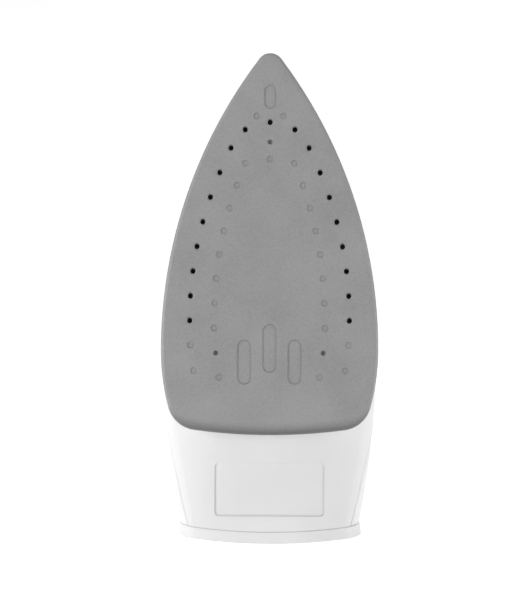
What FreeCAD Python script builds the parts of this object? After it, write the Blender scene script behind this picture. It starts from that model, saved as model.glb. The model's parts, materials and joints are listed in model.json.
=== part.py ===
import FreeCAD, Part
import math
import os
from types import SimpleNamespace

import Sketcher

# A steam iron, modelled in the frame of its own soleplate: X across, Y forwards from the
# plate's rear edge to its tip, Z up from the ironing face. Every piece is then stood on the
# iron's heel, with the ironing face towards -Y and leaning back.

os.makedirs("parts", exist_ok=True)
V = FreeCAD.Vector
doc = FreeCAD.newDocument("steam_iron")

# Driving dimensions, in millimetres and degrees.
DIMENSIONS = {
    "lean_back": 17.0,
    "heel_foot_y": -59.3,
    "heel_foot_z": 22.0,
    "wall": 2.4,
    "seam": 0.3,
    "tight_seam": 0.06,
    # soleplate
    "sole_tip": 211.0,
    "sole_half": 60.0,
    "sole_nose": 7.5,
    "sole_widest": 47.0,
    "sole_rear_bow": 120.0,
    "sole_crown": 4.4,
    "sole_corner": 17.0,
    "sole_thick": 7.0,
    "sole_edge": 2.2,
    "sole_rear_roll": 6.3,
    "steam_hole": 2.8,
    "steam_rim": 3.9,
    "dimple_wide": 3.6,
    "dimple_deep": 0.35,
    "slot_deep": 0.45,
    "rivet_deep": 0.6,
    # heater casting
    "casting_inset": 6.5,
    "casting_top": 17.0,
    "channel_deep": 3.0,
    "channel_wall": 4.0,
    "chamber_deep": 5.5,
    "element_half": 38.0,
    "element_nose": 158.0,
    "element_nose_bow": 13.0,
    "element_bend": 70.0,
    "element_rear": 22.0,
    "element_thick": 7.0,
    # casing levels
    "skirt_base": 7.8,
    "tank_base": 30.0,
    "tank_split": 62.0,
    "tank_roof": 80.0,
    "tank_rear": 24.0,
    "nose_full": 14.0,
    "flank_full": 28.0,
    "casing_nose": 209.0,
    "casing_half": 58.9,
    "roof_nose": 168.0,
    "roof_half": 42.0,
    "casing_widest": 44.0,
    "casing_rear_bow": 520.0,
    "casing_rear": -75.0,
    "underside_edge": 1.5,
    "underside_slope": 0.2217,
    "underside_bow": 96.0,
    "underside_corner": 14.0,
    "label_wide": 60.6,
    "label_high": 29.4,
    "label_deep": 0.6,
    "filler_bore": 9.6,
    "filler_neck": 11.2,
    "hinge_boss": 2.2,
    # handle
    "grip_wide": 34.0,
    "grip_high": 26.0,
    "grip_rear_z": 130.0,
    "grip_bend_y": 78.0,
    "grip_bend_z": 134.0,
    "grip_bend": 30.0,
    "pillar_tilt": 67.5,
}


class Size:
    """A number together with the sheet expression that it comes from."""

    def __init__(self, value, text):
        self.value = float(value)
        self.text = text

    def __add__(self, other):
        other = size(other)
        return Size(self.value + other.value, f"({self.text} + {other.text})")

    def __sub__(self, other):
        other = size(other)
        return Size(self.value - other.value, f"({self.text} - {other.text})")

    def __mul__(self, other):
        other = size(other)
        return Size(self.value * other.value, f"({self.text} * {other.text})")

    def __truediv__(self, other):
        other = size(other)
        return Size(self.value / other.value, f"({self.text} / {other.text})")

    def __neg__(self):
        return Size(-self.value, f"(0 - {self.text})")

    __radd__ = __add__
    __rmul__ = __mul__

    def __rsub__(self, other):
        return size(other) - self


def size(number):
    return number if isinstance(number, Size) else Size(number, repr(float(number)))


def root(number):
    return Size(math.sqrt(number.value), f"sqrt({number.text})")


def make_sheet():
    sheet = doc.addObject("Spreadsheet::Sheet", "Sizes")
    for row, (alias, value) in enumerate(DIMENSIONS.items(), 1):
        sheet.set(f"A{row}", alias.replace("_", " "))
        sheet.set(f"B{row}", str(value))
        sheet.setAlias(f"B{row}", alias)
    doc.recompute()
    sizes = SimpleNamespace()
    for alias in DIMENSIONS:
        setattr(sizes, alias, Size(sheet.get(alias), f"Sizes.{alias}"))
    return sizes


d = make_sheet()


def bind(thing, name, number):
    number = size(number)
    setattr(thing, name, number.value)
    thing.setExpression(name, number.text)


# ---------------------------------------------------------------- placements

def standing():
    lean = d.lean_back.value
    turn = FreeCAD.Rotation(V(0, 0, 1), 180) * FreeCAD.Rotation(V(1, 0, 0), 90 + lean)
    foot = turn.multVec(V(0, d.heel_foot_y.value, d.heel_foot_z.value))
    return FreeCAD.Placement(V(0, ROW_SHIFT, -foot.z), turn)


ROW_SHIFT = -88.48
STAND = standing()
pieces = []


def at(x=0, y=0, z=0, axis=(1, 0, 0), turn=0):
    place = V(size(x).value, size(y).value, size(z).value)
    return FreeCAD.Placement(place, FreeCAD.Rotation(V(*axis), turn))


def piece(name, thing, place=None):
    thing.Label = name
    thing.Placement = STAND * (place or FreeCAD.Placement())
    pieces.append(thing)
    return thing


# Places on the iron, in its own frame.
DIAL_Y = 62
VALVE_Y = 113.5
FUSE_Y = 42
FILLER_Y = 154.5
HINGE_Y = 142
HINGE_Z = 82.6
NOZZLE_Y = 178
NOZZLE_Z = 69.5
BUTTON_X = 7.5
BUTTON_Y = 84
KNOB_Z = 139
LENS_Y = 26
GLAND_Y = 2
PARTING_Z = 133
CAP_DEEP = 6.3
HANDLE_SCREWS = (42, 64)
STRAP_Y = 27
STRAP_SCREW_X = 20
REAR_ROLL_Y = 10
UNDERSIDE_SECTIONS = ((40, 0.4), (1.5, 0), (-36, -0.6), (-76, -0.6))

# ---------------------------------------------------------------- sketches and features

def new_body(name):
    return doc.addObject("PartDesign::Body", name)


def new_sketch(body, role, offset=0):
    sketch = body.newObject("Sketcher::SketchObject", "sketch")
    plane = next(item for item in body.Origin.OriginFeatures if item.Role == role)
    sketch.AttachmentSupport = [(plane, "")]
    sketch.MapMode = "FlatFace"
    offset = size(offset)
    sketch.AttachmentOffset = FreeCAD.Placement(V(0, 0, offset.value), FreeCAD.Rotation())
    sketch.setExpression("AttachmentOffset.Base.z", offset.text)
    return sketch


def fix(sketch, kind, *where, number):
    index = sketch.addConstraint(Sketcher.Constraint(kind, *where, number.value))
    sketch.setExpression(f"Constraints[{index}]", number.text)


def arc(first, last, radius, way):
    """The short arc from first to last; way is 1 when it turns left and -1 to the right."""
    chord = last - first
    rise = math.sqrt(max(radius ** 2 - chord.Length ** 2 / 4, 0))
    side = V(-chord.y, chord.x, 0).normalize()
    centre = (first + last) / 2 + side * (way * rise)
    low, high = (first, last) if way > 0 else (last, first)
    start = math.atan2(low.y - centre.y, low.x - centre.x)
    stop = math.atan2(high.y - centre.y, high.x - centre.x)
    return Part.ArcOfCircle(Part.Circle(centre, V(0, 0, 1), radius), start, stop)


def draw(sketch, *corners):
    """Corners are (x, y) for a straight run from there, or (x, y, radius, way) for an arc. The
    radius "half" makes a half circle, level at both ends."""
    corners = [(size(c[0]), size(c[1]), *c[2:]) for c in corners]
    count = len(corners)
    base = sketch.GeometryCount
    starts, stops = [], []
    for i in range(count):
        here, there = corners[i], corners[(i + 1) % count]
        first = V(here[0].value, here[1].value, 0)
        last = V(there[0].value, there[1].value, 0)
        if len(here) == 2:
            sketch.addGeometry(Part.LineSegment(first, last))
            starts.append(1)
        else:
            radius = (last - first).Length / 2 if here[2] == "half" else size(here[2]).value
            sketch.addGeometry(arc(first, last, radius, here[3]))
            starts.append(1 if here[3] > 0 else 2)
        stops.append(3 - starts[-1])
    for i, here in enumerate(corners):
        before = (i - 1) % count
        sketch.addConstraint(
            Sketcher.Constraint("Coincident", base + before, stops[before], base + i, starts[i]))
        fix(sketch, "DistanceX", -1, 1, base + i, starts[i], number=here[0])
        fix(sketch, "DistanceY", -1, 1, base + i, starts[i], number=here[1])
        if len(here) > 2 and here[2] == "half":
            fix(sketch, "DistanceY", -1, 1, base + i, 3, number=here[1])
        elif len(here) > 2:
            fix(sketch, "Radius", base + i, number=size(here[2]))
    return sketch


def ring(sketch, x, y, radius):
    x, y, radius = size(x), size(y), size(radius)
    index = sketch.addGeometry(Part.Circle(V(x.value, y.value, 0), V(0, 0, 1), radius.value))
    fix(sketch, "DistanceX", -1, 1, index, 3, number=x)
    fix(sketch, "DistanceY", -1, 1, index, 3, number=y)
    fix(sketch, "Radius", index, number=radius)
    return sketch


def block(sketch, x, y, wide, high):
    """A rectangle about the centre (x, y)."""
    x, y, wide, high = size(x), size(y), size(wide) / 2, size(high) / 2
    return draw(sketch, (x - wide, y - high), (x + wide, y - high), (x + wide, y + high), (x - wide, y + high))


def slot(sketch, x, y, wide, long):
    """A round-ended slot about the centre (x, y), its length along Y."""
    x, y, half, reach = size(x), size(y), size(wide) / 2, (size(long) - size(wide)) / 2
    return draw(sketch, (x + half, y - reach), (x + half, y + reach, "half", 1),
                (x - half, y + reach), (x - half, y - reach, "half", 1))


def pad(body, sketch, length):
    feature = body.newObject("PartDesign::Pad", "pad")
    feature.Profile = sketch
    bind(feature, "Length", length)
    return feature


def pocket(body, sketch, length, back=False):
    """A pocket that cuts against the sketch's normal, or along it when back is true."""
    feature = body.newObject("PartDesign::Pocket", "pocket")
    feature.Profile = sketch
    bind(feature, "Length", length)
    feature.Reversed = back
    return feature


def turned(body, sketch):
    """A revolution of an XZ sketch about Z."""
    feature = body.newObject("PartDesign::Revolution", "turned")
    feature.Profile = sketch
    feature.ReferenceAxis = (sketch, ["V_Axis"])
    feature.Angle = 360
    return feature


def loft(body, sketches):
    feature = body.newObject("PartDesign::AdditiveLoft", "loft")
    feature.Profile = sketches[0]
    feature.Sections = sketches[1:]
    return feature


def edges_where(shape, test):
    return [f"Edge{i}" for i, edge in enumerate(shape.Edges, 1) if test(edge)]


def upright(edge):
    first, last = edge.Vertexes[0].Point, edge.Vertexes[-1].Point
    return math.hypot(first.x - last.x, first.y - last.y) < 0.001


def level(height):
    return lambda edge: abs(edge.BoundBox.ZMin - height) + abs(edge.BoundBox.ZMax - height) < 0.01


def rounded(body, feature, radius, test, kind="Fillet"):
    doc.recompute()
    result = body.newObject(f"PartDesign::{kind}", kind.lower())
    result.Base = (feature, edges_where(feature.Shape, test))
    bind(result, "Radius" if kind == "Fillet" else "Size", radius)
    return result


# ---------------------------------------------------------------- outlines

def bow(nose, nose_bow, half, widest, rear, rear_bow, crown=None):
    """The plan of an iron: a nose arc, two tangent flanks that are widest at one place, and
    two tangent rear flanks. The rear is straight, or an arc that starts crown forward."""
    nose, nose_bow, half, widest, rear, rear_bow = map(size, (nose, nose_bow, half, widest, rear, rear_bow))
    reach = nose - nose_bow - widest
    flank = (reach * reach + half * half - nose_bow * nose_bow) / (2 * (half - nose_bow))
    across = nose_bow * (flank - half) / (flank - nose_bow)
    ahead = nose - nose_bow + nose_bow * reach / (flank - nose_bow)
    back = widest - rear - (crown or 0)
    rear_half = half - rear_bow + root(rear_bow * rear_bow - back * back)
    rear_y = rear + (crown or 0)
    right = [(rear_half, rear_y, rear_bow, 1), (half, widest, flank, 1), (across, ahead, nose_bow, 1)]
    left = [(-across, ahead, flank, 1), (-half, widest, rear_bow, 1)]
    if crown is None:
        return right + left + [(-rear_half, rear_y)]
    crown_bow = (rear_half * rear_half + crown * crown) / (2 * crown)
    return right + left + [(-rear_half, rear_y, crown_bow, 1)]


def sole_plan(inset=0):
    return bow(d.sole_tip - inset * 1.5, d.sole_nose - inset * 0.5, d.sole_half - inset, d.sole_widest,
               size(inset), d.sole_rear_bow, d.sole_crown)


# ---------------------------------------------------------------- soleplate

def steam_holes():
    """Eight pairs down the flanks, a pair by the nose and one on the centre line."""
    holes = [(0, 172.5), (13.7, 168.4), (-13.7, 168.4)]
    for row in range(8):
        x = 44 - 0.4 * row ** 2.07
        y = 62.9 + 13.62 * row
        holes += [(x, y), (-x, y)]
    return holes


def dimples():
    """Shallow dimples: an inner row each side, and singles by the nose and the rear slots."""
    spots = [(0, 152.1)]
    for row in range(8):
        x = 30.5 - 0.27 * row ** 2.13
        y = 58.9 + 13.9 * row - 0.13 * row ** 2
        spots += [(x, y), (-x, y)]
    for x, y in ((7.4, 176.0), (27.7, 31.8), (43.5, 49.5), (41.8, 35.3)):
        spots += [(x, y), (-x, y)]
    return spots


RIVETS = [(0, 161.6), (29.6, 45.1), (-29.6, 45.1)]
SLOTS = [(0, 186.6, 6.6, 13.2), (0, 47.6, 7.8, 26.7), (13.9, 40.1, 7.8, 24.6), (-13.9, 40.1, 7.8, 24.6)]


def soleplate():
    body = new_body("sole_blank")
    plate = pad(body, draw(new_sketch(body, "XY_Plane"), *sole_plan()), d.sole_thick)
    rounded(body, plate, d.sole_corner, lambda e: upright(e) and e.BoundBox.YMax < 30)
    holes = new_sketch(body, "XY_Plane")
    for x, y in steam_holes():
        ring(holes, x, y, d.steam_hole / 2)
    drilled = pocket(body, holes, d.sole_thick, back=True)
    doc.recompute()
    rounded(body, drilled, (d.steam_rim - d.steam_hole) / 2, hole_rim, "Chamfer")
    seats = new_sketch(body, "XY_Plane")
    for x, y in RIVETS:
        ring(seats, x, y, d.steam_hole / 2)
    pocket(body, seats, d.rivet_deep + 3, back=True)
    shallow = new_sketch(body, "XY_Plane")
    for x, y in dimples():
        ring(shallow, x, y, d.dimple_wide / 2)
    pocket(body, shallow, d.dimple_deep, back=True)
    grooves = new_sketch(body, "XY_Plane")
    for x, y, wide, long in SLOTS:
        slot(grooves, x, y, wide, long)
    pocket(body, grooves, d.slot_deep, back=True)
    return piece("soleplate", rolled_edge(body))


def hole_rim(edge):
    return level(0)(edge) and abs(edge.BoundBox.XLength - d.steam_hole.value) < 0.01


def rolled_edge(body):
    """The plate with its outline rounded: lightly along the flanks, and rolled up at the rear."""
    doc.recompute()
    shape = body.Shape
    face = min(shape.Faces, key=lambda f: f.CenterOfMass.z + 1000 * (f.Area < 5000))
    outline = face.OuterWire.Edges
    rolled = doc.addObject("Part::Fillet", "rolled_plate")
    rolled.Base = body
    rolled.Edges = [(i, edge_round(e, 0), edge_round(e, -1)) for i, e in enumerate(shape.Edges, 1)
                    if any(e.isSame(other) for other in outline)]
    return rolled


def edge_round(edge, end):
    """The outline's radius at one end of an edge: the rear's roll, or the flanks' rounding."""
    rear = edge.Vertexes[end].Point.y < REAR_ROLL_Y
    return (d.sole_rear_roll if rear else d.sole_edge).value


def sole_rivets():
    """Flush rivets that hold the plate to the casting, each with a dimpled head."""
    body = new_body("sole_rivets")
    heads = new_sketch(body, "XY_Plane", d.rivet_deep)
    for x, y in RIVETS:
        ring(heads, x, y, d.steam_hole / 2)
    pad(body, heads, 3)
    dents = new_sketch(body, "XY_Plane", d.rivet_deep)
    for x, y in RIVETS:
        ring(dents, x, y, 0.5)
    pocket(body, dents, 0.4, back=True)
    return piece("sole_rivets", body)


# ---------------------------------------------------------------- heater

def element_bow(offset):
    """Half width, nose centre, nose radius and shoulder of a curve parallel to the element."""
    half = d.element_half + offset
    nose_bow = d.element_nose_bow + offset
    nose = d.element_nose + offset
    return bow(nose, nose_bow, half, d.element_bend, d.element_rear, size(100000))


def heater_casting():
    """The aluminium casting: steam channel below, chamber above, and a groove for the element."""
    inset = d.casting_inset
    body = new_body("casting_block")
    outline = sole_plan(inset)
    slab = pad(body, draw(new_sketch(body, "XY_Plane", d.sole_thick), *outline), d.casting_top - d.sole_thick)
    rounded(body, slab, d.sole_corner - 3, lambda e: upright(e) and e.BoundBox.YMax < 40)
    channel = new_sketch(body, "XY_Plane", d.sole_thick)
    edge = inset + d.channel_wall
    draw(channel, *bow(d.sole_tip - 2.2 * edge, 5, d.sole_half - edge, d.sole_widest + 12, 56, 200))
    pocket(body, channel, d.channel_deep, back=True)
    chamber = new_sketch(body, "XY_Plane", d.casting_top)
    draw(chamber, *chamber_plan(0))
    pocket(body, chamber, d.chamber_deep)
    ports = new_sketch(body, "XY_Plane", d.casting_top)
    for side in (1, -1):
        ring(ports, side * 20, 96, 2)
    pocket(body, ports, d.casting_top - d.sole_thick)
    ends = new_sketch(body, "XY_Plane", d.casting_top)
    for side in (1, -1):
        block(ends, d.element_half * side, d.element_rear - 8.9, 9, 18)
    pocket(body, ends, d.element_thick)
    threads = new_sketch(body, "XY_Plane", d.casting_top)
    for side in (1, -1):
        ring(threads, STRAP_SCREW_X * side, STRAP_Y, 1.5)
    pocket(body, threads, 7)
    return body


def chamber_plan(grow):
    """The steam chamber's plan, inside the element's curve, grown outwards by a margin."""
    return bow(150 + grow, 5 + grow, 28 + size(grow), 84, 83 - grow, 400)


def element_path():
    points = element_bow(size(0))
    tops = [V(size(p[0]).value, size(p[1]).value, 0) for p in points]
    runs = [Part.makeLine(tops[0], tops[1])]
    for i in (1, 2, 3):
        runs.append(arc(tops[i], tops[i + 1], size(points[i][2]).value, 1).toShape())
    runs.append(Part.makeLine(tops[4], tops[5]))
    return Part.Wire(runs)


def tube(path, radius):
    """A round bar along a wire, starting square to it."""
    start = path.Edges[0]
    origin = start.valueAt(start.FirstParameter)
    way = start.tangentAt(start.FirstParameter)
    if path.Edges[1].distToShape(Part.Vertex(origin))[0] < 0.001:
        origin, way = start.valueAt(start.LastParameter), -start.tangentAt(start.LastParameter)
    section = Part.Wire(Part.makeCircle(radius, origin, way))
    return path.makePipeShell([section], True, False)


def cast_in_element():
    """The element, and the casting with the element's groove cut from its top."""
    radius = d.element_thick.value / 2
    height = d.casting_top.value - radius
    path = element_path()
    path.translate(V(0, 0, height))
    bar = doc.addObject("Part::Feature", "heating_element")
    bar.Shape = tube(path, radius)
    groove = doc.addObject("Part::Feature", "element_groove")
    groove.Shape = tube(path, radius + 0.05)
    cast = doc.addObject("Part::Cut", "grooved_casting")
    cast.Base = heater_casting()
    cast.Tool = groove
    piece("heating_element", bar)
    return piece("heater_casting", cast)


def element_pins():
    """The two cold ends of the element, with flat tabs for the leads."""
    body = new_body("element_pins")
    x = d.element_half
    stems = new_sketch(body, "XZ_Plane", -(d.element_rear - 0.1))
    for side in (1, -1):
        ring(stems, x * side, d.casting_top - d.element_thick / 2, 1.5)
    pad(body, stems, 9)
    tabs = new_sketch(body, "XZ_Plane", -(d.element_rear - 7))
    for side in (1, -1):
        block(tabs, x * side, d.casting_top - d.element_thick / 2 + 3, 0.8, 9)
    pad(body, tabs, 6.3)
    return piece("element_pins", body)


def chamber_parts():
    """The plate that closes the steam chamber, and its gasket."""
    gasket = new_body("chamber_gasket")
    flat = new_sketch(gasket, "XY_Plane", d.casting_top)
    draw(flat, *chamber_plan(3))
    draw(flat, *chamber_plan(0))
    pad(gasket, flat, 0.8)
    piece("chamber_gasket", gasket)
    cover = new_body("steam_chamber_cover")
    flat = new_sketch(cover, "XY_Plane", d.casting_top + 0.8)
    draw(flat, *chamber_plan(3))
    ring(flat, 0, VALVE_Y, 3)
    pad(cover, flat, 1.2)
    return piece("steam_chamber_cover", cover)


def thermostat():
    """A bimetal thermostat on the casting, and the shaft that the dial turns."""
    base = new_body("thermostat_body")
    pad(base, block(new_sketch(base, "XY_Plane", d.casting_top), 0, DIAL_Y, 26, 18), 4)
    pad(base, ring(new_sketch(base, "XY_Plane", d.casting_top + 4), 0, DIAL_Y, 7), 6)
    pocket(base, ring(new_sketch(base, "XY_Plane", d.casting_top + 10), 0, DIAL_Y, 3.05), 6)
    tabs = new_sketch(base, "XY_Plane", d.casting_top + 4)
    for side in (1, -1):
        block(tabs, 10.5 * side, DIAL_Y, 0.8, 6)
    pad(base, tabs, 7)
    piece("thermostat_body", base)
    shaft = new_body("thermostat_shaft")
    pad(shaft, ring(new_sketch(shaft, "XY_Plane", d.casting_top + 4.2), 0, DIAL_Y, 3), 63.6)
    return piece("thermostat_shaft", shaft)


def thermal_fuse():
    fuse = doc.addObject("Part::Cylinder", "thermal_fuse")
    bind(fuse, "Radius", 2.2)
    bind(fuse, "Height", 11)
    piece("thermal_fuse", fuse, at(-5.5, FUSE_Y, d.casting_top + 3.5, (0, 1, 0), 90))
    clip = new_body("fuse_clip")
    pad(clip, block(new_sketch(clip, "XY_Plane", d.casting_top), 0, FUSE_Y, 7, 16), 1)
    legs = new_sketch(clip, "XY_Plane", d.casting_top + 1)
    for side in (1, -1):
        block(legs, 0, FUSE_Y + side * 2.9, 7, 1)
    pad(clip, legs, 4.5)
    return piece("fuse_clip", clip)


# ---------------------------------------------------------------- casing forms



def casing_level(height):
    """Nose and half width of the casing at one height: both draw in faster higher up."""
    nose = d.casing_nose - (d.casing_nose - d.roof_nose) * drawn_in(height, d.nose_full, 1.6)
    half = d.casing_half - (d.casing_half - d.roof_half) * drawn_in(height, d.flank_full, 2)
    return nose, half


def drawn_in(height, full, power):
    """The share of the whole draw-in at one height, from none at the height full."""
    share = max((height.value - full.value) / (d.tank_roof - full).value, 0)
    return round(share ** power, 4)


def casing_form(inset=0):
    body = new_body("casing_form")
    plans = []
    for height in (d.skirt_base, d.tank_base, size(46), d.tank_split, d.tank_roof):
        nose, half = casing_level(height)
        nose_bow = 8 + (height - d.skirt_base) / 10
        sketch = new_sketch(body, "XY_Plane", height)
        plans.append(draw(sketch, *bow(nose - 1.3 * inset, nose_bow - inset, half - inset,
                                       d.casing_widest, d.casing_rear, d.casing_rear_bow)))
    loft(body, plans)
    return body


def tower_plan(nose, half, corner, rear_half):
    """A housing's plan: straight tapering sides, rounded front corners and a flat front."""
    side = half - corner
    return [(rear_half, d.casing_rear), (half, nose - corner, corner, 1), (side, nose),
            (-side, nose, corner, 1), (-half, nose - corner), (-rear_half, d.casing_rear)]


def tower_form(inset=0):
    """The housing behind the handle, narrowing upwards to the grip's rear end."""
    body = new_body("tower_form")
    plans = []
    for height, nose, half in TOWER_LEVELS:
        corner = size(half * 0.45) - inset
        lowered = inset if height == TOWER_ROOF else 0
        sketch = new_sketch(body, "XY_Plane", size(height - lowered))
        plan = tower_plan(size(nose) - inset, size(half) - inset, corner, size(half - 6) - inset)
        plans.append(draw(sketch, *plan))
    loft(body, plans)
    return body


TOWER_LEVELS = ((40, 16, 50), (80, 11, 38), (110, 8, 27.5), (131, 6, 20))
TOWER_ROOF = 131


def grip_form(inset=0):
    """The grip and the front pillar: one rounded bar along a bent path."""
    tilt = math.radians(d.pillar_tilt.value)
    rise = math.atan2((d.grip_bend_z - d.grip_rear_z).value, d.grip_bend_y.value)
    bend = V(0, d.grip_bend_y.value, d.grip_bend_z.value)
    first = bend - V(0, math.cos(rise), math.sin(rise)) * 112
    radius = d.grip_bend.value
    centre = bend + V(0, math.sin(rise), -math.cos(rise)) * radius
    leave = centre + V(0, math.sin(tilt), math.cos(tilt)) * radius
    middle_turn = (tilt - rise) / 2
    middle = centre + V(0, math.sin(middle_turn), math.cos(middle_turn)) * radius
    foot = leave + V(0, math.cos(tilt), -math.sin(tilt)) * 48
    path = Part.Wire([
        Part.makeLine(first, bend),
        Part.Arc(bend, middle, leave).toShape(),
        Part.makeLine(leave, foot),
    ])
    half = d.grip_wide.value / 2 - inset
    high = d.grip_high.value / 2 - inset
    round_by = 9.5 - inset
    section = Part.makePlane(2 * half, 2 * high, V(-half, -high, 0))
    prism = section.extrude(V(0, 0, 1))
    corners = [e for e in prism.Edges if upright(e)]
    prism = prism.makeFillet(round_by, corners)
    outline = next(f for f in prism.Faces if abs(f.CenterOfMass.z) < 0.001).OuterWire
    turn = FreeCAD.Rotation(V(1, 0, 0), 90 + math.degrees(rise))
    outline.Placement = FreeCAD.Placement(first, turn)
    thing = doc.addObject("Part::Feature", "grip_form")
    thing.Shape = path.makePipeShell([outline], True, False)
    return thing



def cut(base, *tools):
    thing = doc.addObject("Part::Cut", "cut")
    thing.Base = base
    thing.Tool = tools[0] if len(tools) == 1 else fuse(*tools)
    return thing


def fuse(*parts):
    thing = doc.addObject("Part::MultiFuse", "fuse")
    thing.Shapes = list(parts)
    return thing


def common(*parts):
    thing = doc.addObject("Part::MultiCommon", "common")
    thing.Shapes = list(parts)
    return thing


def box(x0, y0, z0, x1, y1, z1):
    """A box between two opposite corners."""
    low = [size(v) for v in (x0, y0, z0)]
    high = [size(v) for v in (x1, y1, z1)]
    thing = doc.addObject("Part::Box", "box")
    for name, a, b in zip(("Length", "Width", "Height"), low, high):
        bind(thing, name, b - a)
    thing.Placement = at(*low)
    return thing


def rod(x, y, z, radius, height, axis=(1, 0, 0), turn=0):
    thing = doc.addObject("Part::Cylinder", "rod")
    bind(thing, "Radius", radius)
    bind(thing, "Height", height)
    thing.Placement = at(x, y, z, axis, turn)
    return thing


def behind_heel(inset=0):
    """Everything behind the plane that the heel stands on, moved inset into the iron."""
    lean = math.radians(d.lean_back.value)
    thing = doc.addObject("Part::Box", "behind_heel")
    for name, length in (("Length", 300), ("Width", 200), ("Height", 400)):
        bind(thing, name, length)
    turn = FreeCAD.Rotation(V(1, 0, 0), -d.lean_back.value)
    foot = V(0, d.heel_foot_y.value, d.heel_foot_z.value) + V(0, math.cos(lean), -math.sin(lean)) * inset
    corner = foot + turn.multVec(V(-150, -200, -150))
    thing.Placement = FreeCAD.Placement(corner, turn)
    return thing


def casing_side(y):
    """The casing's half width behind its widest place."""
    bow_radius = d.casing_rear_bow
    back = d.casing_widest - y
    return d.casing_half - bow_radius + root(bow_radius * bow_radius - back * back)


def underside_low(y):
    """How high the underside's middle is: it slopes up behind the soleplate."""
    steep = 0.6 if y > d.underside_edge.value else d.underside_slope
    return d.skirt_base - 0.4 + (d.underside_edge - y) * steep


def underside_section(body, y, beside, inset):
    """One section of the heel: a wide arc below, tangent corner arcs, and upright sides."""
    low = underside_low(y) + inset
    half = casing_side(y) + beside - inset
    wide, corner = d.underside_bow - inset, d.underside_corner - inset
    centre_x = half - corner
    drop = root((wide - corner) * (wide - corner) - centre_x * centre_x)
    share = wide / (wide - corner)
    meet_x, meet_z = centre_x * share, low + wide - drop * share
    side_z = low + wide - drop
    sketch = new_sketch(body, "XZ_Plane", -size(y))
    return draw(sketch, (-meet_x, meet_z, wide, 1), (meet_x, meet_z, corner, 1), (half, side_z), (half, 75),
                (-half, 75), (-half, side_z, corner, 1))


def below_underside(inset=0):
    """Everything outside the heel's rounded underside, moved inset into the iron."""
    body = new_body("heel_form")
    loft(body, [underside_section(body, y, beside, inset) for y, beside in UNDERSIDE_SECTIONS])
    return cut(box(-80, UNDERSIDE_SECTIONS[-1][0], -40, 80, UNDERSIDE_SECTIONS[0][0], 55), body)


def label_recess():
    """A shallow recess for a rating label, following the underside."""
    middle = -30
    body = new_body("label_prism")
    sketch = new_sketch(body, "XY_Plane")
    pad(body, draw(sketch, *oval(0, middle, d.label_wide, d.label_high, 2.5)), 40)
    return common(body, below_underside(d.label_deep.value))


def lower_shell(outer, inner):
    """The white skirt around the casting, with the heel's underside and its label recess."""
    zone = box(-80, -90, d.skirt_base, 80, 220, d.tank_base - d.seam / 2)
    solid = cut(common(outer, zone), behind_heel(CAP_DEEP + d.tight_seam.value), below_underside())
    room = box(-80, -90, d.skirt_base + d.wall, 80, 220, d.tank_roof)
    hollow = cut(common(inner, room), below_underside(d.wall.value), behind_heel(CAP_DEEP + 3.0))
    opening = new_body("casting_opening")
    pad(opening, draw(new_sketch(opening, "XY_Plane"), *sole_plan(d.casting_inset - 0.8)), d.casting_top)
    return piece("lower_shell", cut(solid, hollow, opening, label_recess()))


def tank(outer, inner):
    """The water tank in two halves, with a well for the thermostat shaft."""
    wall = d.wall
    front = d.tank_rear
    low_zone = box(-80, front, d.tank_base + d.seam / 2, 80, 220, d.tank_split)
    low_room = common(inner, box(-80, front + wall, d.tank_base + wall, 80, 220, d.tank_roof + 10))
    well = rod(0, DIAL_Y, d.tank_base + d.seam / 2, 8, d.tank_split - d.tank_base - d.seam / 2)
    bore = rod(0, DIAL_Y, d.tank_base - 5, 4.5, 80)
    seat_hole = rod(0, VALVE_Y, d.tank_base - 5, 5, 20)
    lower = cut(fuse(cut(common(outer, low_zone), low_room), common(outer, well)), bore, seat_hole)
    piece("tank_lower", lower)
    high_zone = box(-80, front, d.tank_split + 1, 80, 220, d.tank_roof)
    high_room = common(inner, box(-80, front + wall, d.tank_base + wall, 80, 220, d.tank_roof - wall))
    cap_well = rod(0, DIAL_Y, d.tank_split + 1, 8, d.tank_roof - d.tank_split - 1)
    rod_hole = rod(0, VALVE_Y, d.tank_split, 2, 40)
    neck = rod(0, FILLER_Y, d.tank_roof - 12, d.filler_neck, 12)
    neck_bore = rod(0, FILLER_Y, d.tank_roof - 20, d.filler_bore, 60)
    nozzle_hole = rod(0, NOZZLE_Y - 20, NOZZLE_Z, 5.05, 60, (1, 0, 0), -90)
    lugs = hinge_lug(5.3) + hinge_lug(-8)
    shell = fuse(cut(common(outer, high_zone), high_room), cap_well, common(outer, neck), *lugs)
    pin_hole = rod(-15, HINGE_Y, HINGE_Z, 1, 30, (0, 1, 0), 90)
    upper = cut(shell, bore, rod_hole, neck_bore, nozzle_hole, pin_hole)
    piece("tank_upper", upper)
    band = common(outer, box(-80, front, d.tank_split, 80, 220, d.tank_split + 1))
    room = common(inner, box(-80, front + wall, d.tank_split - 1, 80, 220, d.tank_split + 2))
    return piece("tank_gasket", cut(band, room))


def hinge_lug(x):
    """A round-topped lug, 2.7 mm thick from x, for one end of the filler door's pin."""
    boss = d.hinge_boss
    stem = box(x, HINGE_Y - boss, d.tank_roof - 1, x + 2.7, HINGE_Y + boss, HINGE_Z)
    return [stem, rod(x, HINGE_Y, HINGE_Z, boss, 2.7, (0, 1, 0), 90)]


def handle_solid(outer_casing, inset):
    """The rear housing, tower, grip, pillar and knob turret as one form, drawn in by inset."""
    housing = common(outer_casing, box(-80, -90, d.tank_base + d.seam / 2 - inset * 5, 80,
                                       d.tank_rear - d.seam - inset, d.tank_roof - inset))
    tower = tower_form(inset)
    grip = common(grip_form(inset), box(-80, -90, d.tank_roof + d.seam - inset * 5, 80, 160, 200))
    turret = common(rod(0, VALVE_Y, 104, 10.5 - inset, KNOB_Z - 104 - inset),
                    box(-80, -90, 90, 80, 160, 200))
    return fuse(housing, tower, grip, turret)


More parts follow.
